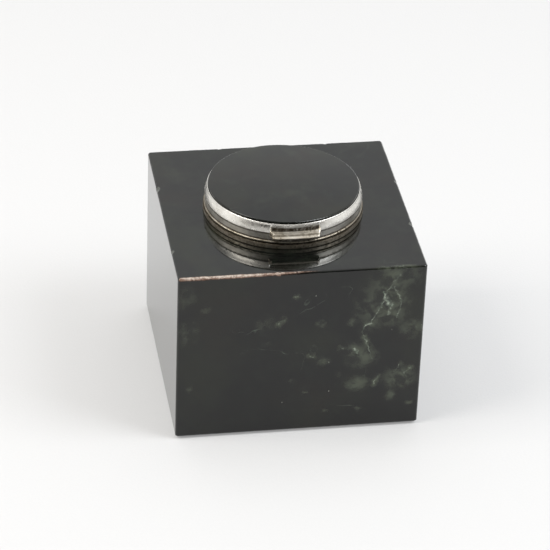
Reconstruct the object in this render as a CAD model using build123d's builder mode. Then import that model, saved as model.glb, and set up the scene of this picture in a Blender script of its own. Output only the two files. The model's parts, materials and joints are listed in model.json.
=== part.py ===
from build123d import *
import os

os.makedirs("parts", exist_ok=True)

# Desk inkwell: a square block of veined stone on a felt pad, with a round silver collar let into its top,
# a loose glass liner in the well, and a hinged silver lid that is inset with a disc of the same stone.
# Millimetres, +Z up. The origin is the middle of the underside, and the thumb piece faces -Y.

# ---- Driving dimensions ----
block_side = 80.0
block_height = 61.0
pad_thickness = 0.6
pad_inset = 2.0
block_top = pad_thickness + block_height

well_x = -0.4            # the well is bored a little left of the middle
well_depth = 44.0
well_radius = 22.4
seat_radius = 23.5       # counterbore that takes the collar's sleeve
seat_depth = 12.0

sleeve_outer = 23.0
sleeve_inner = 22.2
rim_outer = 24.3         # upstand that the lid closes over
rim_inner = 23.5
rim_top = 3.4
ledge_top = 0.9
collar_radius = 26.2
collar_top = 1.75

liner_radius = 21.6
liner_wall = 2.4
liner_depth = 40.0
liner_flange_radius = 23.15
liner_flange_top = 2.8

lid_bottom = 1.85
lid_inner = 24.85
wall_radius = 25.65
wall_top = 5.4
bead_bottom = 1.95
bead_top = 2.7
bead_radius = 26.0
bezel_inner = 24.65
bezel_crest = 8.55
notch_radius = 25.0
plate_bottom = 5.6
plate_top = 6.4
bedding_top = 6.7
inlay_radius = 24.6
inlay_shoulder = 9.35
inlay_crown = 10.1       # the inlay is slightly domed
inlay_edge = 0.3

thumb_root_width = 17.8
thumb_lip_width = 15.2
thumb_reach = 27.1       # how far the lip stands from the lid's axis
thumb_front_rise = 0.4   # how far the lip's ends stand back from its middle
thumb_lip_bottom = 4.0
thumb_lip_top = 4.6
thumb_shoulder = 6.1
thumb_back = 22.5        # safely inside the lid before it is trimmed to the wall

hinge_y = 28.0
hinge_height = 2.2
knuckle_radius = 1.45
pin_radius = 0.6
pin_clearance = 0.03
middle_half = 3.0
knuckle_gap = 0.1
outer_length = 4.4
pin_head = 0.5

# ---- Shared planes and axes ----
well_axis = Axis((well_x, 0, block_top), (0, 0, 1))
section = Plane(origin=(well_x, 0, block_top), x_dir=(1, 0, 0), z_dir=(0, -1, 0))
stone_face = Plane(origin=(well_x, 0, block_top), x_dir=(1, 0, 0), z_dir=(0, 0, 1))
hinge_section = Plane(origin=(well_x, hinge_y, block_top + hinge_height), x_dir=(0, 1, 0), z_dir=(1, 0, 0))


def ring(inner, outer, low, high):
    """Plain ring about the well's axis, between two heights above the stone."""
    with BuildPart() as body:
        with BuildSketch(stone_face.offset(low)):
            Circle(outer)
            Circle(inner, mode=Mode.SUBTRACT)
        extrude(amount=high - low)
    return body.part


def disc(radius, low, high):
    """Plain disc about the well's axis, between two heights above the stone."""
    with BuildPart() as body:
        with BuildSketch(stone_face.offset(low)):
            Circle(radius)
        extrude(amount=high - low)
    return body.part


def turned(points):
    """Solid turned about the well's axis from a closed outline of (radius, height above the stone)."""
    with BuildPart() as body:
        with BuildSketch(section):
            with BuildLine():
                Polyline(*points, close=True)
            make_face()
        revolve(axis=well_axis)
    return body.part


def barrel(start, length, hole):
    """Hinge knuckle on the pin's axis, from start along X."""
    with BuildPart() as body:
        with BuildSketch(hinge_section.offset(start)):
            Circle(knuckle_radius)
            Circle(hole, mode=Mode.SUBTRACT)
        extrude(amount=length)
    return body.part


# ---- Felt pad, glued to the flat underside ----
with BuildPart() as base_pad:
    with BuildSketch(Plane.XY):
        RectangleRounded(block_side - 2 * pad_inset, block_side - 2 * pad_inset, 3)
    extrude(amount=pad_thickness)
base_pad.part.label = "base_pad"
export_step(base_pad.part, "parts/base_pad.step")

# ---- Stone block, with a stepped well bored from the top ----
with BuildPart() as stone_block:
    with BuildSketch(Plane.XY.offset(pad_thickness)):
        Rectangle(block_side, block_side)
    extrude(amount=block_height)
    fillet(stone_block.edges().filter_by(Axis.Z), 1.0)
    chamfer(stone_block.faces().sort_by(Axis.Z)[-1].edges(), 0.6)
    chamfer(stone_block.faces().sort_by(Axis.Z)[0].edges(), 0.7)
    with BuildSketch(stone_face):
        Circle(well_radius)
    extrude(amount=-well_depth, mode=Mode.SUBTRACT)
    with BuildSketch(stone_face):
        Circle(seat_radius)
    extrude(amount=-seat_depth, mode=Mode.SUBTRACT)
stone_block.part.label = "stone_block"
export_step(stone_block.part, "parts/stone_block.step")

# ---- Collar: sleeve with a ledge and an upstand, plaster bedding, and the visible ring on the stone ----
with BuildPart() as collar_sleeve:
    add(turned([
        (sleeve_inner, -seat_depth),
        (sleeve_outer, -seat_depth),
        (sleeve_outer, 0),
        (rim_outer, 0),
        (rim_outer, rim_top - 0.2),
        (rim_outer - 0.2, rim_top),
        (rim_inner + 0.1, rim_top),
        (rim_inner, rim_top - 0.1),
        (rim_inner, ledge_top),
        (sleeve_inner, ledge_top),
    ]))
collar_sleeve.part.label = "collar_sleeve"
export_step(collar_sleeve.part, "parts/collar_sleeve.step")

with BuildPart() as collar_bedding:
    add(ring(sleeve_outer, seat_radius, -seat_depth, 0))
collar_bedding.part.label = "collar_bedding"
export_step(collar_bedding.part, "parts/collar_bedding.step")

with BuildPart() as collar_ring:
    add(ring(rim_outer, collar_radius, 0, collar_top))
    top_circles = collar_ring.edges().filter_by(GeomType.CIRCLE).group_by(Axis.Z)[-1]
    chamfer(top_circles.sort_by(SortBy.LENGTH)[-1], 0.2)
collar_ring.part.label = "collar_ring"
export_step(collar_ring.part, "parts/collar_ring.step")

# ---- Glass liner, which hangs by its flange on the collar's ledge ----
liner_inner = liner_radius - liner_wall
liner_bottom = ledge_top - liner_depth
with BuildPart() as glass_liner:
    with BuildSketch(section):
        with BuildLine():
            Polyline(
                (0, liner_bottom + 1.2),
                (liner_radius * 0.7, liner_bottom),
                (liner_radius - 1.5, liner_bottom),
                (liner_radius, liner_bottom + 1.5),
                (liner_radius, ledge_top),
                (liner_flange_radius, ledge_top),
                (liner_flange_radius, liner_flange_top - 0.5),
                (liner_flange_radius - 0.5, liner_flange_top),
                (liner_inner + 0.8, liner_flange_top),
                (liner_inner, liner_flange_top - 0.8),
                (liner_inner, liner_bottom + 8),
            )
            RadiusArc((liner_inner, liner_bottom + 8), (liner_inner - 5, liner_bottom + 3.4), 5)
            Line((liner_inner - 5, liner_bottom + 3.4), (0, liner_bottom + 3.4))
            Line((0, liner_bottom + 3.4), (0, liner_bottom + 1.2))
        make_face()
    revolve(axis=well_axis)
glass_liner.part.label = "glass_liner"
export_step(glass_liner.part, "parts/glass_liner.step")

# ---- Lid: plain wall, and a half-round bead wire round its foot, open where the hinge leaf sits ----
with BuildPart() as lid_wall:
    add(ring(lid_inner, wall_radius, lid_bottom, wall_top))
lid_wall.part.label = "lid_wall"
export_step(lid_wall.part, "parts/lid_wall.step")

leaf_half = middle_half - 0.1
with BuildPart() as lid_bead:
    with BuildSketch(section):
        with BuildLine():
            Line((wall_radius, bead_top), (wall_radius, bead_bottom))
            ThreePointArc(
                (wall_radius, bead_bottom),
                (bead_radius, (bead_bottom + bead_top) / 2),
                (wall_radius, bead_top),
            )
        make_face()
    revolve(axis=well_axis)
    with Locations((well_x, hinge_y, block_top + bead_bottom)):
        Box(2 * leaf_half + 0.2, 8, 4, mode=Mode.SUBTRACT)
lid_bead.part.label = "lid_bead"
export_step(lid_bead.part, "parts/lid_bead.step")


def thumb_plan():
    """The thumb piece's outline from above: wide at the root, with a gently curved front."""
    with BuildSketch() as plan:
        with BuildLine():
            Polyline(
                (thumb_lip_width / 2, -thumb_reach + thumb_front_rise),
                (thumb_root_width / 2, -thumb_back),
                (-thumb_root_width / 2, -thumb_back),
                (-thumb_lip_width / 2, -thumb_reach + thumb_front_rise),
            )
            ThreePointArc(
                (-thumb_lip_width / 2, -thumb_reach + thumb_front_rise),
                (0, -thumb_reach),
                (thumb_lip_width / 2, -thumb_reach + thumb_front_rise),
            )
        make_face()
    return plan.sketch


# ---- Thumb piece: a tapered tab with a hollow face, let into a notch in the bezel ----
thumb_side = Plane(origin=(well_x - thumb_root_width, 0, block_top), x_dir=(0, 1, 0), z_dir=(1, 0, 0))
with BuildPart() as thumb_piece:
    with BuildSketch(thumb_side):
        with BuildLine():
            RadiusArc((-thumb_reach, thumb_lip_top), (-notch_radius - 0.4, thumb_shoulder), 7)
            Polyline(
                (-notch_radius - 0.4, thumb_shoulder),
                (-thumb_back, thumb_shoulder),
                (-thumb_back, thumb_lip_bottom + 0.3),
                (-wall_radius, thumb_lip_bottom + 0.3),
                (-thumb_reach + 0.25, thumb_lip_bottom),
                (-thumb_reach, thumb_lip_bottom + 0.15),
                (-thumb_reach, thumb_lip_top),
            )
        make_face()
    extrude(amount=2 * thumb_root_width)
    with BuildSketch(stone_face):
        add(thumb_plan())
    extrude(amount=thumb_shoulder + 1, mode=Mode.INTERSECT)
    with BuildSketch(stone_face):
        Circle(wall_radius)
    extrude(amount=wall_top, mode=Mode.SUBTRACT)
    with BuildSketch(stone_face):
        Circle(notch_radius)
    extrude(amount=bezel_crest, mode=Mode.SUBTRACT)
thumb_piece.part.label = "thumb_piece"
export_step(thumb_piece.part, "parts/thumb_piece.step")

# ---- Bezel: a sloping, slightly convex band round the inlay, notched at the front for the thumb piece ----
bezel_crest_outer = bezel_inner + 0.25
with BuildPart() as lid_bezel:
    with BuildSketch(section):
        with BuildLine():
            RadiusArc((wall_radius, wall_top), (bezel_crest_outer + 0.1, bezel_crest - 0.2), -8)
            RadiusArc(
                (bezel_crest_outer + 0.1, bezel_crest - 0.2),
                (bezel_crest_outer - 0.1, bezel_crest),
                -0.25,
            )
            Polyline(
                (bezel_crest_outer - 0.1, bezel_crest),
                (bezel_inner, bezel_crest),
                (bezel_inner, wall_top),
                (wall_radius, wall_top),
            )
        make_face()
    revolve(axis=well_axis)
    with BuildSketch(stone_face.offset(wall_top)):
        add(thumb_plan())
        Circle(notch_radius, mode=Mode.SUBTRACT)
    extrude(amount=bezel_crest, mode=Mode.SUBTRACT)
lid_bezel.part.label = "lid_bezel"
export_step(lid_bezel.part, "parts/lid_bezel.step")

# ---- Backing plate, its bedding, and the stone inlay ----
with BuildPart() as lid_plate:
    add(disc(bezel_inner, plate_bottom, plate_top))
lid_plate.part.label = "lid_plate"
export_step(lid_plate.part, "parts/lid_plate.step")

with BuildPart() as inlay_bedding:
    add(disc(inlay_radius, plate_top, bedding_top))
inlay_bedding.part.label = "inlay_bedding"
export_step(inlay_bedding.part, "parts/inlay_bedding.step")

with BuildPart() as lid_inlay:
    with BuildSketch(section):
        with BuildLine():
            Polyline(
                (0, inlay_crown),
                (0, bedding_top),
                (inlay_radius, bedding_top),
                (inlay_radius, inlay_shoulder - inlay_edge),
            )
            RadiusArc(
                (inlay_radius, inlay_shoulder - inlay_edge),
                (inlay_radius - inlay_edge, inlay_shoulder),
                -inlay_edge,
            )
            dome_radius = ((inlay_radius - inlay_edge) ** 2 / (inlay_crown - inlay_shoulder)
                           + inlay_crown - inlay_shoulder) / 2
            RadiusArc((inlay_radius - inlay_edge, inlay_shoulder), (0, inlay_crown), -dome_radius)
        make_face()
    revolve(axis=well_axis)
lid_inlay.part.label = "lid_inlay"
export_step(lid_inlay.part, "parts/lid_inlay.step")

# ---- Hinge: two knuckles on the collar, one on the lid, and the pin through all three ----
outer_start = middle_half + knuckle_gap
leaf_bottom = 0.75
with BuildPart() as collar_knuckles:
    for start in (-outer_start - outer_length, outer_start):
        add(barrel(start, outer_length, pin_radius))
        with BuildSketch(stone_face.offset(leaf_bottom)):
            with Locations((start + outer_length / 2, (collar_radius + hinge_y) / 2 - 1)):
                Rectangle(outer_length, hinge_y - collar_radius + 2)
            Circle(collar_radius, mode=Mode.SUBTRACT)
        extrude(amount=0.6)
    with BuildSketch(hinge_section.offset(-outer_start - outer_length)):
        Circle(pin_radius)
    extrude(amount=2 * (outer_start + outer_length), mode=Mode.SUBTRACT)
collar_knuckles.part.label = "collar_knuckles"
export_step(collar_knuckles.part, "parts/collar_knuckles.step")

with BuildPart() as lid_knuckle:
    add(barrel(-middle_half, 2 * middle_half, pin_radius + pin_clearance))
    with BuildSketch(stone_face.offset(lid_bottom + 0.1)):
        with Locations((0, (wall_radius + hinge_y) / 2 - 0.5)):
            Rectangle(2 * leaf_half, hinge_y - wall_radius + 1)
        Circle(wall_radius, mode=Mode.SUBTRACT)
    extrude(amount=bead_top - lid_bottom + 0.2)
    with BuildSketch(hinge_section.offset(-middle_half)):
        Circle(pin_radius + pin_clearance)
    extrude(amount=2 * middle_half, mode=Mode.SUBTRACT)
lid_knuckle.part.label = "lid_knuckle"
export_step(lid_knuckle.part, "parts/lid_knuckle.step")

pin_half = outer_start + outer_length
with BuildPart() as hinge_pin:
    with BuildSketch(hinge_section.offset(-pin_half)):
        Circle(pin_radius)
    extrude(amount=2 * pin_half)
    for side, reach in ((-pin_half, -pin_head), (pin_half, pin_head)):
        with BuildSketch(hinge_section.offset(side)):
            Circle(pin_radius + 0.3)
        extrude(amount=reach)
    fillet(hinge_pin.edges().filter_by(GeomType.CIRCLE).sort_by(Axis.X)[0], 0.3)
    fillet(hinge_pin.edges().filter_by(GeomType.CIRCLE).sort_by(Axis.X)[-1], 0.3)
hinge_pin.part.label = "hinge_pin"
export_step(hinge_pin.part, "parts/hinge_pin.step")
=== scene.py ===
"""Desk inkwell in its frame: finished meshes, materials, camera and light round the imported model.

The scene is in metres. Outlines and tables are in millimetres and are scaled by MM.
"""
import json
import math

import bpy
import bmesh
from mathutils import Matrix, Vector, noise
from mathutils.geometry import tessellate_polygon


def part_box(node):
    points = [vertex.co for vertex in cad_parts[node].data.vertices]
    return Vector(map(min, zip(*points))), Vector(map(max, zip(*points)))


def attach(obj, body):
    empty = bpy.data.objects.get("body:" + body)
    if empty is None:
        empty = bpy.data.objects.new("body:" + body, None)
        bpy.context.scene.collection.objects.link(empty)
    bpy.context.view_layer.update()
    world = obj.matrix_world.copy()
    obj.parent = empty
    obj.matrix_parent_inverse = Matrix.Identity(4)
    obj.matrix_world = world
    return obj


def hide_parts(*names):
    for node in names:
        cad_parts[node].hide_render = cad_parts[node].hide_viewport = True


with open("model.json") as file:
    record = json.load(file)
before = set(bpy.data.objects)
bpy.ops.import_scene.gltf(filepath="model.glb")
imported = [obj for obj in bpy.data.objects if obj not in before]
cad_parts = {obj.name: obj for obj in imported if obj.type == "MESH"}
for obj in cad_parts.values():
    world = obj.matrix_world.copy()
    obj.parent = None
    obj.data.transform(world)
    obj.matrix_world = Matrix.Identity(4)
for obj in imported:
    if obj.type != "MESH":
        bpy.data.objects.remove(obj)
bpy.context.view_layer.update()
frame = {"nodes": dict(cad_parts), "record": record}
nodes = frame["nodes"]

MM = 0.001
STONE_LOW, STONE_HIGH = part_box("stone_block")
INLAY_LOW, INLAY_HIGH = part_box("lid_inlay")
STONE_TOP = STONE_HIGH.z
AXIS_X = (INLAY_LOW.x + INLAY_HIGH.x) / 2
AXIS_Y = (INLAY_LOW.y + INLAY_HIGH.y) / 2


# ---- Camera, at the photograph's viewing angle ----
VIEW_TURN = math.radians(-10.1)
VIEW_RISE = math.radians(32.55)
VIEW_ROLL = math.radians(2.2)
SENSOR = 36.0
FOCAL = 5.288                  # focal length in picture widths
ORIGIN_RIGHT = 0.00093         # where the frame's origin lies from the camera's axis
ORIGIN_DOWN = 0.02964
ORIGIN_AWAY = 0.98348


def make_camera():
    back = Vector((
        math.sin(VIEW_TURN) * math.cos(VIEW_RISE),
        -math.cos(VIEW_TURN) * math.cos(VIEW_RISE),
        math.sin(VIEW_RISE),
    ))
    level_right = (-back).cross(Vector((0, 0, 1))).normalized()
    level_up = level_right.cross(-back)
    right = math.cos(VIEW_ROLL) * level_right + math.sin(VIEW_ROLL) * level_up
    up = -math.sin(VIEW_ROLL) * level_right + math.cos(VIEW_ROLL) * level_up
    data = bpy.data.cameras.new("view_camera")
    data.sensor_width = SENSOR
    data.lens = FOCAL * SENSOR
    data.clip_start = 0.05
    data.clip_end = 30
    camera = bpy.data.objects.new("view_camera", data)
    camera.matrix_world = Matrix((right, up, back)).transposed().to_4x4()
    camera.location = ORIGIN_AWAY * back + ORIGIN_DOWN * up - ORIGIN_RIGHT * right
    bpy.context.scene.collection.objects.link(camera)
    bpy.context.scene.camera = camera


make_camera()


# ---- Small helpers for node materials ----
class Nodes:
    """A material's node tree, with one call for each node and its inputs."""

    def __init__(self, name, **values):
        self.material = bpy.data.materials.new(name)
        self.material.use_nodes = True
        self.tree = self.material.node_tree
        self.shader = self.tree.nodes["Principled BSDF"]
        for socket, value in values.items():
            self.shader.inputs[socket.replace("_", " ")].default_value = value
        self.place = self.add("ShaderNodeTexCoord").outputs["Object"]

    def add(self, kind, **settings):
        node = self.tree.nodes.new(kind)
        for key, value in settings.items():
            setattr(node, key, value)
        return node

    def put(self, socket, value):
        """value is another node's output, or a constant."""
        if isinstance(value, bpy.types.NodeSocket):
            self.tree.links.new(value, socket)
        else:
            socket.default_value = value

    def math(self, operation, a, b=0.0, clamp=False):
        node = self.add("ShaderNodeMath", operation=operation, use_clamp=clamp)
        self.put(node.inputs[0], a)
        self.put(node.inputs[1], b)
        return node.outputs[0]

    def vector(self, operation, a, b=(0, 0, 0), scale=None):
        node = self.add("ShaderNodeVectorMath", operation=operation)
        self.put(node.inputs[0], a)
        self.put(node.inputs[1], b)
        if scale is not None:
            self.put(node.inputs["Scale"], scale)
        return node.outputs["Value" if operation in ("LENGTH", "DISTANCE", "DOT_PRODUCT") else "Vector"]

    def noise(self, size, detail=3.0, roughness=0.55, at=None, distortion=0.0):
        """Noise whose blobs are about size metres across."""
        node = self.add("ShaderNodeTexNoise")
        self.put(node.inputs["Vector"], self.place if at is None else at)
        node.inputs["Scale"].default_value = 1 / size
        node.inputs["Detail"].default_value = detail
        node.inputs["Roughness"].default_value = roughness
        node.inputs["Distortion"].default_value = distortion
        return node.outputs["Fac"]

    def ramp(self, value, low, high, to_low=0.0, to_high=1.0):
        node = self.add("ShaderNodeMapRange", interpolation_type="SMOOTHSTEP")
        self.put(node.inputs["Value"], value)
        for key, number in (("From Min", low), ("From Max", high), ("To Min", to_low), ("To Max", to_high)):
            node.inputs[key].default_value = number
        return node.outputs["Result"]

    def mix(self, share, a, b):
        """Colour between a and b."""
        node = self.add("ShaderNodeMix", data_type="RGBA")
        self.put(node.inputs["Factor"], share)
        self.put(node.inputs["A"], a)
        self.put(node.inputs["B"], b)
        return node.outputs["Result"]

    def bump(self, height, distance, under=None):
        node = self.add("ShaderNodeBump")
        self.put(node.inputs["Height"], height)
        node.inputs["Distance"].default_value = distance
        node.inputs["Strength"].default_value = 1.0
        if under is not None:
            self.put(node.inputs["Normal"], under)
        return node.outputs["Normal"]

    def split(self, vector):
        node = self.add("ShaderNodeSeparateXYZ")
        self.put(node.inputs[0], vector)
        return node.outputs

    def join(self, x, y, z):
        node = self.add("ShaderNodeCombineXYZ")
        for socket, value in zip(node.inputs, (x, y, z)):
            self.put(socket, value)
        return node.outputs[0]

    def use(self, **links):
        for socket, value in links.items():
            self.put(self.shader.inputs[socket.replace("_", " ")], value)
        return self.material


# ---- Stage and light: a pale glowing floor, a pale wall of light behind, and a soft box on each side ----
def make_stage():
    half = 3.0
    mesh = bpy.data.meshes.new("floor")
    corners = [(-half, -half, 0), (half, -half, 0), (half, half, 0), (-half, half, 0)]
    mesh.from_pydata(corners, [], [(0, 1, 2, 3)])
    floor = bpy.data.objects.new("floor", mesh)
    paper = Nodes("floor_paper", Roughness=0.9, Emission_Color=(1.0, 1.0, 1.0, 1), Emission_Strength=0.27)
    fibre = paper.noise(0.0008, 3)
    paper.use(
        Base_Color=paper.mix(fibre, (0.41, 0.41, 0.415, 1), (0.44, 0.44, 0.44, 1)),
        Normal=paper.bump(fibre, 0.00004),
    )
    mesh.materials.append(paper.material)
    bpy.context.scene.collection.objects.link(floor)


def soft_box(name, turn, rise, distance, size, radiance, colour):
    """Rectangular light at a turn and rise round the block, in degrees, facing it.
    Radiance is what a mirror would show of it."""
    a, e = math.radians(turn), math.radians(rise)
    direction = Vector((math.sin(a) * math.cos(e), -math.cos(a) * math.cos(e), math.sin(e)))
    data = bpy.data.lights.new(name, "AREA")
    data.shape = "RECTANGLE"
    data.size, data.size_y = size
    data.energy = radiance * math.pi * size[0] * size[1]
    data.color = colour
    light = bpy.data.objects.new(name, data)
    light.location = Vector((0, 0, 0.04)) + direction * distance
    light.rotation_mode = "QUATERNION"
    light.rotation_quaternion = (-direction).to_track_quat("-Z", "Y")
    bpy.context.scene.collection.objects.link(light)


def make_world():
    """Room light that is pale behind the block and at its sides, and dim on the camera's side."""
    world = bpy.data.worlds.new("soft_room")
    world.use_nodes = True
    tree = world.node_tree
    coordinates = tree.nodes.new("ShaderNodeTexCoord")
    parts = tree.nodes.new("ShaderNodeSeparateXYZ")
    tree.links.new(coordinates.outputs["Generated"], parts.inputs[0])
    ramp = tree.nodes.new("ShaderNodeValToRGB")
    ramp.color_ramp.interpolation = "EASE"
    stops = ramp.color_ramp.elements
    stops[0].position, stops[0].color = 0.13, (0.05, 0.047, 0.042, 1)
    stops[1].position, stops[1].color = 0.72, (0.78, 0.785, 0.79, 1)
    for position, colour in ((0.26, (0.50, 0.49, 0.47, 1)), (0.40, (1.12, 1.11, 1.09, 1))):
        stops.new(position).color = colour
    turned = tree.nodes.new("ShaderNodeVectorMath")
    turned.operation = "DOT_PRODUCT"
    tree.links.new(coordinates.outputs["Generated"], turned.inputs[0])
    turned.inputs[1].default_value = (0.07, 0.5, 0.0)
    lifted = tree.nodes.new("ShaderNodeMath")
    tree.links.new(turned.outputs["Value"], lifted.inputs[0])
    lifted.inputs[1].default_value = 0.5
    tree.links.new(lifted.outputs[0], ramp.inputs["Fac"])
    ceiling = tree.nodes.new("ShaderNodeMapRange")
    ceiling.interpolation_type = "SMOOTHSTEP"
    tree.links.new(parts.outputs["Z"], ceiling.inputs["Value"])
    for key, value in (("From Min", 0.55), ("From Max", 0.95), ("To Min", 0.0), ("To Max", 0.22)):
        ceiling.inputs[key].default_value = value
    lighter = tree.nodes.new("ShaderNodeMix")
    lighter.data_type = "RGBA"
    lighter.blend_type = "LIGHTEN"
    lighter.inputs["Factor"].default_value = 1.0
    tree.links.new(ramp.outputs["Color"], lighter.inputs["A"])
    tree.links.new(ceiling.outputs["Result"], lighter.inputs["B"])
    tree.links.new(lighter.outputs["Result"], tree.nodes["Background"].inputs["Color"])
    bpy.context.scene.world = world


def make_light():
    soft_box("left_box", -82, 45, 1.1, (0.55, 0.66), 7.0, (1.0, 0.965, 0.90))
    soft_box("right_box", 66, 47, 1.1, (0.52, 0.62), 7.4, (0.94, 0.97, 1.0))
    soft_box("back_box", 180, 70, 1.3, (0.9, 0.6), 1.3, (1.0, 1.0, 1.0))
    bpy.context.scene.view_settings.view_transform = "Standard"


make_stage()
make_world()
make_light()


# ---- Materials: stone ----
# Pale veins on the block's front face: two ends as (x, z) in millimetres on the face, half width, strength.
FRONT_VEINS = [
    ((27.2, 61.9), (33.0, 61.3), 1.0, 0.12),
    ((31.2, 58.6), (27.4, 52.6), 2.0, 0.13),
    ((27.4, 52.6), (24.6, 46.2), 2.2, 0.15),
    ((29.7, 54.2), (26.0, 52.6), 0.7, 0.32),
    ((26.0, 52.6), (26.9, 50.2), 0.6, 0.7),
    ((29.7, 54.2), (31.0, 51.6), 0.7, 0.32),
    ((31.0, 51.6), (32.2, 48.2), 0.8, 0.42),
    ((32.2, 48.2), (30.9, 42.4), 0.35, 0.45),
    ((26.9, 50.2), (28.6, 47.2), 1.1, 1.0),
    ((28.6, 47.2), (28.2, 44.0), 0.8, 0.6),
    ((26.9, 50.2), (25.2, 46.4), 0.55, 0.6),
    ((25.2, 46.4), (22.6, 40.8), 0.45, 0.6),
    ((22.6, 40.8), (21.0, 40.2), 0.6, 0.8),
    ((21.0, 40.2), (19.8, 38.0), 0.35, 0.6),
    ((19.8, 38.0), (20.8, 35.0), 0.3, 0.5),
    ((20.8, 35.0), (21.9, 32.6), 0.35, 0.6),
    ((21.9, 32.6), (22.9, 29.2), 0.4, 0.6),
    ((22.9, 29.2), (23.6, 27.0), 0.35, 0.5),
    ((17.6, 31.0), (18.6, 30.0), 0.8, 0.8),
    ((26.0, 20.2), (24.6, 17.0), 0.3, 0.5),
    ((31.6, 21.5), (33.0, 24.2), 0.3, 0.5),
    ((34.2, 20.5), (36.6, 22.6), 0.3, 0.45),
    ((-5.4, 44.5), (-7.6, 42.4), 0.3, 0.4),
    ((3.0, 29.4), (4.4, 29.0), 0.3, 0.45),
    ((13.0, 31.8), (14.2, 31.5), 0.3, 0.4),
    ((-2.6, 52.6), (-1.4, 52.4), 0.25, 0.4),
]
# Green clouds and patches there: centre, radii, strength.
FRONT_CLOUDS = [
    ((28.6, 43.6), (6.0, 4.4), 1.0),
    ((28.4, 50.0), (5.0, 5.5), 0.75),
    ((29.4, 59.0), (3.8, 4.2), 0.95),
    ((34.6, 57.0), (4.0, 2.0), 0.35),
    ((19.8, 28.0), (5.8, 4.2), 0.95),
    ((33.0, 19.0), (5.8, 4.6), 1.0),
    ((19.2, 17.6), (4.2, 3.0), 0.95),
    ((16.8, 17.4), (1.0, 1.0), 0.8),
    ((30.5, 12.2), (1.8, 2.2), 0.8),
    ((36.7, 8.8), (1.4, 1.1), 0.7),
    ((19.8, 7.7), (1.3, 0.9), 0.6),
    ((6.2, 41.7), (1.8, 1.6), 0.9),
    ((16.6, 41.7), (2.2, 1.8), 0.7),
    ((36.2, 38.0), (4.4, 4.0), 0.8),
    ((39.2, 38.2), (0.8, 1.2), 0.9),
    ((7.2, 27.1), (2.8, 1.8), 0.65),
    ((12.5, 21.6), (1.4, 1.2), 0.5),
    ((2.1, 15.4), (1.1, 0.5), 0.6),
    ((8.6, 7.6), (1.4, 0.7), 0.6),
    ((-31.2, 49.3), (1.6, 1.1), 0.5),
    ((-36.4, 41.0), (3.4, 5.0), 0.5),
    ((-37.0, 54.0), (3.0, 5.0), 0.4),
    ((-12.0, 42.5), (3.0, 4.0), 0.35),
    ((-11.4, 35.1), (1.8, 1.0), 0.55),
    ((-2.1, 19.9), (1.4, 1.0), 0.5),
    ((-35.7, 19.2), (1.2, 1.2), 0.45),
]


def segment_field(n, at, start, end, half_width, strength):
    """Distance from the line in half widths, raised where the line is faint."""
    start, end = Vector((start[0], 0, start[1])) * MM, Vector((end[0], 0, end[1])) * MM
    along = end - start
    offset = n.vector("SUBTRACT", at, tuple(start))
    share = n.vector("DOT_PRODUCT", offset, tuple(along / along.length_squared))
    share = n.math("MULTIPLY", share, 1.0, clamp=True)
    gap = n.vector("DISTANCE", offset, n.vector("SCALE", tuple(along), scale=share))
    return n.math("ADD", n.math("DIVIDE", gap, half_width * MM), 0.95 * (1 - strength))


def front_markings(n):
    """Vein and cloud masks of the front face, which fade out a millimetre behind it."""
    ragged = n.add("ShaderNodeTexNoise")
    n.put(ragged.inputs["Vector"], n.place)
    ragged.inputs["Scale"].default_value = 1 / (1.6 * MM)
    ragged.inputs["Detail"].default_value = 5
    ragged.inputs["Roughness"].default_value = 0.62
    sway = n.vector("SUBTRACT", ragged.outputs["Color"], (0.5, 0.5, 0.5))
    warped = n.vector("ADD", n.place, n.vector("SCALE", sway, scale=2.8 * MM))
    x, y, z = n.split(warped)[:3]
    flat = n.join(x, 0.0, z)
    field = 20.0
    for line in FRONT_VEINS:
        field = n.math("MINIMUM", segment_field(n, flat, *line), field)
    broken = n.ramp(n.noise(1.1 * MM, 3), 0.36, 0.60, 0.25, 1.0)
    vein = n.math("MULTIPLY", n.ramp(field, 0.15, 1.15, 1.0, 0.0), broken)
    cloud = n.ramp(field, 0.6, 6.0, 0.85, 0.0)
    for (cx, cz), (rx, rz), strength in FRONT_CLOUDS:
        offset = n.vector("SUBTRACT", flat, (cx * MM, 0, cz * MM))
        reach = n.vector("LENGTH", n.vector("MULTIPLY", offset, (1 / (rx * MM), 0, 1 / (rz * MM))))
        cloud = n.math("MAXIMUM", n.ramp(reach, 0.2, 1.35, strength, 0.0), cloud)
    depth = n.split(n.place)[1]
    near = n.ramp(depth, STONE_LOW.y + 0.5 * MM, STONE_LOW.y + 1.6 * MM, 1.0, 0.0)
    grain = n.ramp(n.noise(3.4 * MM, 4, roughness=0.5, distortion=0.4), 0.38, 0.62, 0.15, 1.0)
    cloud = n.math("MULTIPLY", cloud, grain)
    return n.math("MULTIPLY", vein, near), n.math("MULTIPLY", cloud, near)


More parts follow.
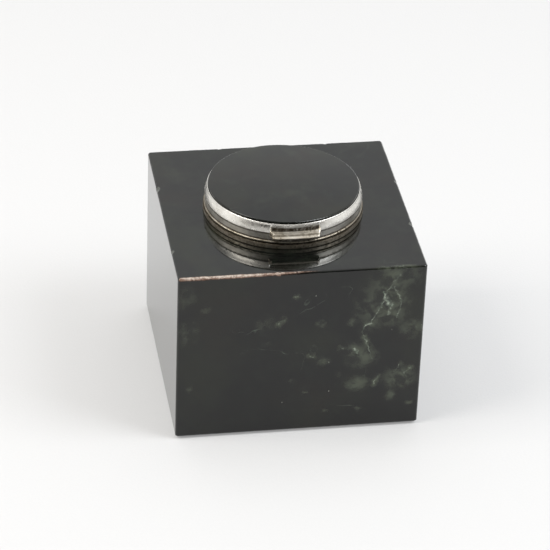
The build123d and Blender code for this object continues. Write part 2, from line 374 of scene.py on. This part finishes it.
def stone_material():
    """Polished green-black stone: olive and brown clouds, pale veins, white specks, and rough worn edges."""
    n = Nodes(
        "polished_stone",
        IOR=1.43,
        Coat_Weight=0.32,
        Coat_IOR=1.35,
        Coat_Roughness=0.03,
    )
    olive = n.ramp(n.noise(22 * MM, 4), 0.46, 0.70)
    brown = n.ramp(n.noise(30 * MM, 2, at=n.vector("ADD", n.place, (0.4, 0.1, 0.2))), 0.48, 0.75)
    mottle = n.ramp(n.noise(3.5 * MM, 4), 0.44, 0.70)
    base = n.mix(olive, (0.0030, 0.0034, 0.0030, 1), (0.0085, 0.0100, 0.0055, 1))
    base = n.mix(n.math("MULTIPLY", brown, 0.7), base, (0.0095, 0.0070, 0.0045, 1))
    base = n.mix(n.math("MULTIPLY", mottle, 0.40), base, (0.0090, 0.0120, 0.0085, 1))

    # Hair veins that run through the whole stone, kept to a few patches of it.
    field = n.noise(26 * MM, 3, roughness=0.5, distortion=0.6)
    hair = n.ramp(n.math("ABSOLUTE", n.math("SUBTRACT", field, 0.5)), 0.0, 0.0045, 1.0, 0.0)
    where = n.ramp(n.noise(17 * MM, 1, at=n.vector("ADD", n.place, (0.9, 0.3, 0.5))), 0.52, 0.64)
    hair = n.math("MULTIPLY", n.math("MULTIPLY", hair, where), n.ramp(n.noise(1.5 * MM, 3), 0.35, 0.6))
    below_top = n.ramp(n.split(n.place)[2], STONE_TOP - 3.0 * MM, STONE_TOP - 0.5 * MM, 1.0, 0.25)
    hair = n.math("MULTIPLY", hair, below_top)
    base = n.mix(n.math("MULTIPLY", hair, 0.5), base, (0.10, 0.125, 0.095, 1))

    cells = n.add("ShaderNodeTexVoronoi")
    n.put(cells.inputs["Vector"], n.place)
    cells.inputs["Scale"].default_value = 1 / (5.0 * MM)
    dot = n.ramp(cells.outputs["Distance"], 0.015, 0.05, 1.0, 0.0)
    chosen = n.ramp(n.split(cells.outputs["Color"])[0], 0.80, 0.82)
    base = n.mix(n.math("MULTIPLY", dot, chosen), base, (0.30, 0.31, 0.27, 1))

    vein, cloud = front_markings(n)
    drift = n.math("MULTIPLY", n.ramp(n.noise(15 * MM, 3, distortion=0.5), 0.54, 0.70), 0.75)
    drift = n.math("MULTIPLY", drift, n.ramp(n.noise(2.8 * MM, 5), 0.36, 0.64, 0.1, 1.0))
    away = n.ramp(n.split(n.place)[1], STONE_LOW.y + 1.0 * MM, STONE_LOW.y + 6.0 * MM)
    away = n.math("MULTIPLY", away, below_top)
    base = n.mix(n.math("MULTIPLY", drift, away), base, (0.036, 0.044, 0.030, 1))
    tone = n.mix(n.noise(5 * MM, 3), (0.064, 0.071, 0.044, 1), (0.074, 0.090, 0.066, 1))
    base = n.mix(cloud, base, tone)
    pale = n.mix(n.ramp(n.noise(1.4 * MM, 4), 0.36, 0.62), (0.12, 0.155, 0.115, 1), (0.46, 0.52, 0.42, 1))
    base = n.mix(vein, base, pale)

    rubbed = n.add("ShaderNodeAttribute", attribute_name="worn").outputs["Fac"]
    worn = n.math("MULTIPLY", n.ramp(rubbed, 0.10, 0.42), n.ramp(n.noise(0.8 * MM, 4), 0.25, 0.5, 0.6, 1.0))
    upward = n.ramp(n.split(n.place)[2], STONE_TOP - 1.0 * MM, STONE_TOP - 0.15 * MM)
    grain = n.noise(0.75 * MM, 4, roughness=0.8)
    deepest = n.math("MULTIPLY", n.ramp(rubbed, 0.3, 1.0), 0.15)
    pale_share = n.math("ADD", n.math("MULTIPLY", upward, 0.27), deepest)
    pale_share = n.math("ADD", pale_share, grain)
    bruise = n.mix(n.ramp(pale_share, 0.60, 0.80), (0.030, 0.014, 0.009, 1), (0.20, 0.125, 0.092, 1))
    bruise = n.mix(n.ramp(pale_share, 0.80, 0.96), bruise, (0.50, 0.43, 0.37, 1))
    chipped = n.mix(n.noise(0.9 * MM, 4), (0.030, 0.034, 0.030, 1), (0.105, 0.110, 0.095, 1))
    frontal = n.ramp(n.split(n.place)[1], STONE_LOW.y + 1.5 * MM, STONE_LOW.y + 2.5 * MM, 1.0, 0.0)
    base = n.mix(worn, base, n.mix(frontal, chipped, bruise))

    smear = n.ramp(n.noise(14 * MM, 5), 0.40, 0.75, 0.035, 0.085)
    rough = n.math("ADD", smear, n.math("MULTIPLY", worn, 0.30))
    span = n.vector("LENGTH", n.vector("SUBTRACT", n.join(*n.split(n.place)[:2], 0.0), (AXIS_X, AXIS_Y, 0)))
    halo = n.math("MULTIPLY", n.ramp(span, 28 * MM, 36 * MM, 1.0, 0.0), n.ramp(span, 25.2 * MM, 25.8 * MM))
    pits = n.ramp(n.noise(0.35 * MM, 2), 0.68, 0.80)
    relief = n.math("SUBTRACT", n.math("MULTIPLY", n.noise(9 * MM, 2), 0.35), n.math("MULTIPLY", pits, 0.12))
    rugged = n.math("MULTIPLY", worn, n.noise(0.6 * MM, 4))
    handled = n.math("MULTIPLY", halo, n.noise(2.4 * MM, 4, distortion=0.5))
    normal = n.bump(relief, 0.012 * MM)
    normal = n.bump(handled, 0.07 * MM, under=normal)
    normal = n.bump(rugged, 0.12 * MM, under=normal)
    return n.use(Base_Color=base, Roughness=rough, Normal=normal)


# ---- Materials: metal, glass, felt and plaster ----
# Grimy grooves of the lid and collar: height above the stone, half width, how dark.
GROOVES = [
    (1.75, 0.62, 1.0),
    (2.95, 0.40, 0.9),
    (5.20, 0.40, 0.8),
    (0.00, 0.45, 0.9),
]
RING_PITCH = 26.0              # turning marks, in radians for each millimetre of radius


def silver_material(name, age, rough, rings=0.0):
    """Old silver: worn clean on its crests, browned in between, and dark in the grooves, with painted shade
    under the thumb piece's lip.
    age is from 0, rubbed bright, to 1, browned all over. rings is the strength of the turning marks."""
    n = Nodes(name, Metallic=1.0)
    x, y, z = n.split(n.place)[:3]
    height = n.math("DIVIDE", n.math("SUBTRACT", z, STONE_TOP), MM)
    offset = n.vector("SUBTRACT", n.join(x, y, 0.0), (AXIS_X, AXIS_Y, 0))
    radius = n.math("DIVIDE", n.vector("LENGTH", offset), MM)

    def band(value, middle, half):
        return n.ramp(n.math("ABSOLUTE", n.math("SUBTRACT", value, middle)), 0.25 * half, half, 1.0, 0.0)

    grooves = 0.0
    for middle, half, share in GROOVES:
        grooves = n.math("MAXIMUM", grooves, n.math("MULTIPLY", band(height, middle, half), share))
    notch = n.math("MULTIPLY", band(radius, 24.93, 0.16), band(height, 6.6, 1.15))
    grooves = n.math("MAXIMUM", grooves, notch)
    # Painted shade under the thumb piece's lip: its underside and lower edge are darkened along with the
    # grooves.
    lip = n.math("MULTIPLY", n.ramp(radius, 26.3, 26.6), band(height, 4.10, 0.75))
    grooves = n.math("MAXIMUM", grooves, n.math("MULTIPLY", lip, 0.95))
    inside = n.math("MULTIPLY", n.ramp(radius, 24.70, 24.78, 1.0, 0.0), n.ramp(height, 6.5, 7.0))
    grooves = n.math("MAXIMUM", grooves, inside)

    cloud = n.noise(4.5 * MM, 4)
    speck = n.noise(0.7 * MM, 4)
    brown = n.math("ADD", age, n.math("MULTIPLY", n.math("SUBTRACT", cloud, 0.5), 1.1), clamp=True)
    # This darkening holds tarnish in the grooves, tarnish specks, and the painted shade under the thumb
    # piece's lip.
    grime_and_shade = n.math("MULTIPLY", grooves, n.ramp(speck, 0.25, 0.55, 0.55, 1.0))
    small = n.ramp(speck, 0.60 - 0.13 * age, 0.74 - 0.13 * age)
    spots = n.math("MULTIPLY", small, n.ramp(cloud, 0.42 - 0.1 * age, 0.66))
    grime_and_shade = n.math("MAXIMUM", grime_and_shade, n.math("MULTIPLY", spots, 0.12 + 0.75 * age))
    colour = n.mix(brown, (0.88, 0.86, 0.81, 1), (0.385, 0.345, 0.28, 1))
    colour = n.mix(grime_and_shade, colour, (0.060, 0.048, 0.034, 1))

    scratch = n.noise(0.22 * MM, 2, at=n.vector("MULTIPLY", n.place, (0.12, 1.0, 0.6)), distortion=0.3)
    cross = n.noise(0.20 * MM, 2, at=n.vector("MULTIPLY", n.place, (1.0, 0.10, 0.8)), distortion=0.3)
    lines = n.math("ADD", n.ramp(scratch, 0.60, 0.70), n.ramp(cross, 0.62, 0.72))
    relief = n.math("ADD", n.math("MULTIPLY", n.noise(2.2 * MM, 3), 1.0), n.math("MULTIPLY", lines, -0.10))
    if rings:
        wave = n.math("SINE", n.math("MULTIPLY", radius, RING_PITCH))
        relief = n.math("ADD", relief, n.math("MULTIPLY", wave, rings))
    spread = n.ramp(n.noise(1.6 * MM, 4), 0.3, 0.7, rough - 0.06, rough + 0.08)
    spread = n.math("ADD", spread, n.math("MULTIPLY", grime_and_shade, 0.25))
    normal = n.bump(relief, 0.030 * MM)
    normal = n.bump(speck, 0.005 * MM, under=normal)
    return n.use(Base_Color=colour, Roughness=spread, Normal=normal)


def glass_material():
    """Thick pressed glass with a faint green tint, a few seeds, and dried ink low down."""
    n = Nodes("liner_glass", IOR=1.5, Transmission_Weight=1.0)
    z = n.split(n.place)[2]
    level = n.math("ADD", z, n.math("MULTIPLY", n.noise(6 * MM, 3), 5 * MM))
    ink = n.ramp(level, STONE_TOP - 29 * MM, STONE_TOP - 24 * MM, 0.85, 0.0)
    ink = n.math("MULTIPLY", ink, n.ramp(n.noise(2.5 * MM, 4), 0.32, 0.6, 0.35, 1.0))
    tint = n.mix(n.noise(12 * MM, 2), (0.90, 0.95, 0.92, 1), (0.96, 0.98, 0.96, 1))
    colour = n.mix(ink, tint, (0.020, 0.028, 0.085, 1))
    seeds = n.ramp(n.noise(1.2 * MM, 1), 0.72, 0.80)
    rough = n.math("ADD", n.ramp(n.noise(5 * MM, 4), 0.4, 0.7, 0.02, 0.07), n.math("MULTIPLY", ink, 0.3))
    relief = n.math("ADD", n.noise(7 * MM, 2), n.math("MULTIPLY", seeds, 0.3))
    return n.use(Base_Color=colour, Roughness=rough, Normal=n.bump(relief, 0.06 * MM))


def felt_material():
    """Dark green baize, matted and dusty."""
    n = Nodes("green_felt", Sheen_Weight=0.5, Sheen_Roughness=0.5, Sheen_Tint=(0.45, 0.55, 0.45, 1))
    fibre = n.noise(0.25 * MM, 4, distortion=1.2)
    mat = n.noise(5 * MM, 3)
    colour = n.mix(fibre, (0.008, 0.020, 0.011, 1), (0.030, 0.062, 0.036, 1))
    colour = n.mix(n.ramp(mat, 0.45, 0.8, 0.0, 0.6), colour, (0.055, 0.060, 0.042, 1))
    rough = n.ramp(fibre, 0.3, 0.7, 0.85, 1.0)
    return n.use(Base_Color=colour, Roughness=rough, Normal=n.bump(fibre, 0.12 * MM))


def plaster_material():
    """Old setting plaster, yellowed and gritty."""
    n = Nodes("setting_plaster")
    grit = n.noise(0.5 * MM, 4)
    colour = n.mix(n.noise(4 * MM, 4), (0.42, 0.37, 0.28, 1), (0.66, 0.61, 0.50, 1))
    colour = n.mix(n.ramp(grit, 0.58, 0.75, 0.0, 0.6), colour, (0.20, 0.16, 0.11, 1))
    rough = n.ramp(grit, 0.3, 0.7, 0.75, 0.95)
    return n.use(Base_Color=colour, Roughness=rough, Normal=n.bump(grit, 0.08 * MM))


STONE = stone_material()
BEZEL_SILVER = silver_material("bezel_silver", 0.08, 0.30)
LID_SILVER = silver_material("lid_silver", 0.45, 0.41)
COLLAR_SILVER = silver_material("collar_silver", 1.0, 0.42)
PLATE_SILVER = silver_material("plate_silver", 0.35, 0.30, rings=0.35)

NODE_FINISH = {
    "stone": STONE,
    "silver": LID_SILVER,
    "liner_glass": glass_material(),
    "felt": felt_material(),
    "plaster": plaster_material(),
}
for part in frame["record"]["subparts"]:
    for place in nodes[part["node"]].material_slots:
        place.material = NODE_FINISH[part["material_slot"]]
for place in nodes["lid_plate"].material_slots:
    place.material = PLATE_SILVER
for name in ("collar_sleeve", "collar_knuckles"):
    for place in nodes[name].material_slots:
        place.material = COLLAR_SILVER


# ---- Mesh helpers ----
def make_piece(name, points, faces, material, node, body, worn=None):
    """Finished mesh piece that stands for a CAD node and rides on its body."""
    mesh = bpy.data.meshes.new(name)
    mesh.from_pydata(points, [], faces)
    if worn is not None:
        mesh.attributes.new("worn", "FLOAT", "POINT").data.foreach_set("value", worn)
    turned = bmesh.new()
    turned.from_mesh(mesh)
    bmesh.ops.recalc_face_normals(turned, faces=turned.faces)
    turned.to_mesh(mesh)
    turned.free()
    mesh.polygons.foreach_set("use_smooth", [True] * len(mesh.polygons))
    mesh.set_sharp_from_angle(angle=math.radians(32))
    mesh.materials.append(material)
    piece = bpy.data.objects.new(name, mesh)
    bpy.context.scene.collection.objects.link(piece)
    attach(piece, body)
    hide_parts(node)
    return piece


ROUNDING_STEPS = 5
TURN_STEPS = 720


def rounded(corners):
    """Outline through corners of (across, up, rounding), each rounded corner given as a short curve."""
    outline = []
    for index, (u, v, size) in enumerate(corners):
        corner = Vector((u, v))
        if not size:
            outline.append(corner)
            continue
        before = Vector(corners[index - 1][:2]) - corner
        after = Vector(corners[(index + 1) % len(corners)][:2]) - corner
        start = corner + before.normalized() * min(size, before.length / 2)
        end = corner + after.normalized() * min(size, after.length / 2)
        for step in range(ROUNDING_STEPS + 1):
            t = step / ROUNDING_STEPS
            outline.append((1 - t) ** 2 * start + 2 * t * (1 - t) * corner + t ** 2 * end)
    return outline


def round_axis(a, r, h):
    """Place in metres at turn a and radius r about the lid's axis, h above the stone's top."""
    return AXIS_X + r * math.sin(a) * MM, AXIS_Y - r * math.cos(a) * MM, STONE_TOP + h * MM


def hand_work(a, h):
    """Slight waviness of hand-worked silver: how far the point at turn a stands out, in millimetres."""
    broad = noise.noise(Vector((3 * math.sin(a), 3 * math.cos(a), 0.3 * h)))
    fine = noise.noise(Vector((14 * math.sin(a), 14 * math.cos(a), 0.9 * h)))
    return 0.045 * broad + 0.018 * fine


def turn(name, corners, material, node, body, shape=None, gap=0.0):
    """Ring turned about the lid's axis from corners of (radius, height above the stone, rounding).
    Turn 0 is the front. shape moves each point, and gap is the half-angle left open at the back."""
    outline = rounded(corners)
    count = len(outline)
    points = []
    turns = TURN_STEPS + 1 if gap else TURN_STEPS
    for step in range(turns):
        a = -math.pi + gap + (2 * math.pi - 2 * gap) * step / TURN_STEPS
        for r, h in outline:
            if shape:
                r, h = shape(a, r, h)
            r += hand_work(a, h)
            points.append(round_axis(a, r, h))
    faces = []
    for step in range(TURN_STEPS):
        here, there = step * count, (step + 1) % turns * count
        for k in range(count):
            after = (k + 1) % count
            faces.append((here + k, here + after, there + after, there + k))
    if gap:
        faces.append(tuple(range(count)))
        faces.append(tuple(TURN_STEPS * count + k for k in reversed(range(count))))
    return make_piece(name, points, faces, material, node, body)


# ---- The stone block ----
BLOCK_HALF = (STONE_HIGH.x - STONE_LOW.x) / 2 / MM
BLOCK_TALL = (STONE_HIGH.z - STONE_LOW.z) / MM
CORNER = 1.0
TOP_CHAMFER = 0.55
FOOT_CHAMFER = 0.7
# Chips in the top edge: place along the perimeter from the front left corner, half width, depth.
CHIPS = [
    (7.0, 1.2, 0.14),
    (19.5, 0.8, 0.12),
    (31.0, 1.0, 0.06),
    (104.0, 1.3, 0.50),
    (131.0, 0.8, 0.30),
    (178.0, 1.1, 0.35),
    (214.0, 0.7, 0.25),
    (262.0, 1.5, 0.40),
    (301.0, 0.9, 0.30),
]


# Rubbed stretch of the front top edge: where it ends, and over what length it deepens towards the left.
RUBBED_END = 7.0
RUBBED_LENGTH = 34.0
# The stepped well, from its mouth down to its floor: radius, height above the stone's top.
WELL = [(23.75, 0.0), (23.5, -0.25), (23.5, -12.0), (22.4, -12.0), (22.4, -43.2), (21.6, -44.0)]
WELL_STEPS = 256
SIDE_STEPS = 260
CORNER_STEPS = 8


def block_perimeter():
    """Places round the block as (place, outward direction, distance so far), from the front left corner."""
    path = []
    straight = BLOCK_HALF - CORNER
    for side in range(4):
        turned = Matrix.Rotation(side * math.pi / 2, 2)
        for step in range(SIDE_STEPS):
            at = turned @ Vector((-straight + 2 * straight * step / SIDE_STEPS, -BLOCK_HALF))
            out = turned @ Vector((0, -1))
            path.append((at, out))
        for step in range(CORNER_STEPS):
            a = math.pi / 2 * step / CORNER_STEPS
            out = turned @ Vector((math.sin(a), -math.cos(a)))
            at = turned @ Vector((straight, -straight)) + CORNER * out
            path.append((at, out))
    distance = 0.0
    measured = []
    for index, (at, out) in enumerate(path):
        if index:
            distance += (at - path[index - 1][0]).length
        measured.append((at, out, distance))
    return measured


def edge_wear(at, out, distance):
    """Chamfer width of the top edge at a place, and how worn it is there from 0 to 1."""
    sway = noise.noise(Vector((0.22 * distance, 0.0, 1.7)))
    fret = noise.noise(Vector((1.4 * distance, 5.0, 0.4)))
    width = TOP_CHAMFER * (1 + 0.14 * sway + 0.10 * fret)
    worn = max(0.0, 0.25 * sway + 0.35 * fret - 0.10)
    if out.y < -0.7:
        rubbed = min(1.0, max(0.0, (RUBBED_END - at.x) / RUBBED_LENGTH)) ** 0.6
        width += 0.20 * rubbed * (1 + 0.15 * fret)
        worn = max(worn, min(1.0, 1.2 * rubbed))
    for place, half, depth in CHIPS:
        nearness = max(0.0, 1 - abs(distance - place) / half)
        bite = depth * nearness ** 0.5 * (1 + 0.5 * fret) if nearness else 0.0
        width += bite
        worn = max(worn, min(1.0, 3 * nearness))
    return width, worn


def make_block():
    path = block_perimeter()
    count = len(path)
    points, worn = [], []
    loops = 0

    def loop(place_of):
        nonlocal loops
        for at, out, distance in path:
            inward, level, wear = place_of(at, out, distance)
            spot = at - out * inward
            points.append((spot.x * MM, spot.y * MM, STONE_LOW.z + level * MM))
            worn.append(wear)
        loops += 1

    top_shape = [(1.6, 0.0, 0.0), (1.08, 0.0, 0.35), (0.92, 0.04, 1.0), (0.46, 0.46, 1.0), (0.04, 0.92, 1.0),
                 (0.0, 1.08, 0.35), (0.0, 1.6, 0.0), (0.0, 2.6, 0.0)]
    for inward, down, share in top_shape:
        def top_place(at, out, distance):
            width, wear = edge_wear(at, out, distance)
            relief = 0.05 * wear * noise.noise(Vector((2.3 * distance, 9 * inward, 4 * down)))
            shown = share * wear ** (1 + 3 * down)
            return inward * width + relief * share, BLOCK_TALL - down * width - relief * share, shown
        loop(top_place)
    foot_shape = [(0.0, 2.4, 0.0), (0.0, 1.1, 0.0), (0.03, 0.94, 0.3), (0.94, 0.03, 0.3), (1.1, 0.0, 0.0)]
    for inward, up, share in foot_shape:
        def foot_place(at, out, distance):
            width = FOOT_CHAMFER * (1 + 0.1 * noise.noise(Vector((0.5 * distance, 3.0, 8.0))))
            return inward * width, up * width, share * abs(noise.noise(Vector((0.9 * distance, 2.0, 2.0))))
        loop(foot_place)

    faces = []
    for row in range(loops - 1):
        for k in range(count):
            after = (k + 1) % count
            here, below = row * count, (row + 1) * count
            faces.append((here + k, here + after, below + after, below + k))
    last = (loops - 1) * count
    faces.append(tuple(last + k for k in range(count)))

    around = WELL_STEPS
    first_well = len(points)
    for r, h in WELL:
        for k in range(around):
            a = 2 * math.pi * k / around
            points.append(round_axis(a, r, h))
            worn.append(0.0)
    for row in range(len(WELL) - 1):
        for k in range(around):
            after = (k + 1) % around
            here, below = first_well + row * around, first_well + (row + 1) * around
            faces.append((here + k, here + after, below + after, below + k))
    floor = first_well + (len(WELL) - 1) * around
    faces.append(tuple(floor + k for k in range(around)))

    rim = [Vector(points[k]) for k in range(count)]
    mouth = [Vector(points[first_well + k]) for k in range(around)]
    for triangle in tessellate_polygon([rim, mouth]):
        faces.append(tuple(k if k < count else first_well + k - count for k in triangle))
    return make_piece("stone_block_cut", points, faces, STONE, "stone_block", "block", worn)


block_piece = make_block()


# ---- Felt pad under the block ----
def make_felt():
    """Baize square glued under the block: slightly uneven cut edge, and a nap."""
    low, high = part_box("base_pad")
    half = (high.x - low.x) / 2
    thick = high.z - low.z
    cells = 48
    points = []
    for level in (0, 1):
        for j in range(cells + 1):
            for i in range(cells + 1):
                u, v = 2 * i / cells - 1, 2 * j / cells - 1
                pull = 1 - 0.012 * (u * u * v * v) ** 4
                fray = 0.0035 * noise.noise(Vector((9 * u, 9 * v, 2.0 + level)))
                x, y = u * half * (pull - 0.004 + fray), v * half * (pull - 0.004 + fray)
                nap = 0.035 * MM * abs(noise.noise(Vector((40 * u, 40 * v, level))))
                points.append((x, y, low.z + nap if level == 0 else low.z + thick - 0.002 * MM))
    row = cells + 1
    layer = row * row
    faces = []
    for j in range(cells):
        for i in range(cells):
            k = j * row + i
            faces.append((k, k + row, k + row + 1, k + 1))
            faces.append((layer + k, layer + k + 1, layer + k + row + 1, layer + k + row))
    for i in range(cells):
        for start, step in ((0, 1), (cells * row, 1), (0, row), (cells, row)):
            k = start + i * step
            faces.append((k, k + step, layer + k + step, layer + k))
    piece = make_piece("felt_pad_cut", points, faces, NODE_FINISH["felt"], "base_pad", "block")


make_felt()


# ---- Turned silver: collar, lid wall, bead wire and bezel ----
turn(
    "collar_turned",
    [(24.32, 0.0, 0), (26.12, 0.0, 0.08), (26.20, 0.25, 0.10), (26.16, 1.62, 0.30), (24.32, 1.72, 0.05)],
    COLLAR_SILVER,
    "collar_ring",
    "block",
)
turn(
    "lid_wall_turned",
    [(24.85, 1.87, 0.05), (25.62, 1.87, 0.12), (25.62, 5.40, 0), (24.85, 5.40, 0)],
    LID_SILVER,
    "lid_wall",
    "lid",
)
turn(
    "bead_wire",
    [(25.55, 2.02, 0), (25.84, 2.00, 0.2), (26.00, 2.32, 0.25), (25.84, 2.66, 0.2), (25.55, 2.66, 0)],
    COLLAR_SILVER,
    "lid_bead",
    "lid",
    gap=math.asin(3.0 / 25.8),
)

NOTCH_TURN = math.radians(18.6)


def notched(a, r, h):
    """The bezel is cut back at the front, under a thin crest, where the thumb piece is let in."""
    if r < 24.85:
        return r, h
    share = min(1.0, max(0.0, (NOTCH_TURN - abs(a)) / math.radians(0.8)))
    cut = min(r, 24.90 if h < 7.5 else 25.00)
    return r + (cut - r) * share, h


turn(
    "bezel_worked",
    [
        (24.66, 5.42, 0),
        (25.68, 5.42, 0.04),
        (25.78, 5.58, 0.12),
        (25.52, 6.70, 0.40),
        (25.24, 7.55, 0.30),
        (25.02, 8.10, 0.15),
        (24.97, 8.53, 0.28),
        (24.70, 8.55, 0.06),
        (24.66, 8.20, 0.10),
    ],
    BEZEL_SILVER,
    "lid_bezel",
    "lid",
    shape=notched,
)


# ---- Thumb piece ----
def make_thumb():
    """Tab with a dished face between two raised side edges and a rounded lip.
    Distances are from the lid's axis, and heights are above the stone's top."""
    wall_r, notch_r = 25.66, 24.95
    # Outline as (distance forward, height, share of the dish); a negative distance is a radius it follows.
    outline = [
        (-wall_r, 4.35, 0), (26.30, 4.22, 0), (26.80, 4.05, 0), (27.02, 4.06, 0), (27.12, 4.18, 0),
        (27.15, 4.36, 0), (27.13, 4.54, 0.1), (27.04, 4.70, 0.3), (26.92, 4.80, 0.5), (26.76, 4.88, 0.8),
        (26.50, 5.04, 1), (26.25, 5.24, 1), (26.00, 5.46, 1), (25.76, 5.70, 1), (25.56, 5.93, 0.8),
        (25.44, 6.07, 0.4), (25.34, 6.12, 0.1), (-notch_r, 6.12, 0), (-notch_r, 5.42, 0), (-wall_r, 5.40, 0),
    ]
    shares = [-1.0, -0.992, -0.978, -0.96, -0.935, -0.90, -0.86, -0.80, -0.7, -0.55, -0.4, -0.2]
    shares = shares + [0.0] + [-u for u in reversed(shares)]

    def half_width(forward):
        return 8.9 - (forward - 22.5) * 1.3 / 4.2

    middle = Vector((26.0, 4.9))
    points = []
    for u in shares:
        edge = max(0.0, (abs(u) - 0.96) / 0.04)
        ridge = math.exp(-(((abs(u) - 0.945) / 0.03) ** 2))
        dish = max(0.0, 1 - (abs(u) / 0.92) ** 3)
        for forward, up, share in outline:
            reach = abs(forward)
            x = u * half_width(reach)
            if forward < 0:
                y = math.sqrt(reach ** 2 - x ** 2)
                x = u * half_width(y)
                y = math.sqrt(reach ** 2 - x ** 2)
            else:
                y = reach - 0.4 * (x / 7.6) ** 2
                pull = 0.10 * edge ** 2
                y += (middle.x - y) * pull * 0.8
                up += (middle.y - up) * pull
            up += share * (0.13 * ridge * (1 - edge) - 0.16 * dish)
            up += 0.02 * noise.noise(Vector((0.9 * x, 0.9 * y, up)))
            points.append((AXIS_X + x * MM, AXIS_Y - y * MM, STONE_TOP + up * MM))
    count = len(outline)
    faces = []
    for step in range(len(shares) - 1):
        for k in range(count):
            after = (k + 1) % count
            here, there = step * count, (step + 1) * count
            faces.append((here + k, here + after, there + after, there + k))
    faces.append(tuple(range(count)))
    faces.append(tuple((len(shares) - 1) * count + k for k in reversed(range(count))))
    make_piece("thumb_tab", points, faces, THUMB_SILVER, "thumb_piece", "lid")


THUMB_SILVER = silver_material("thumb_silver", 0.85, 0.42)
make_thumb()
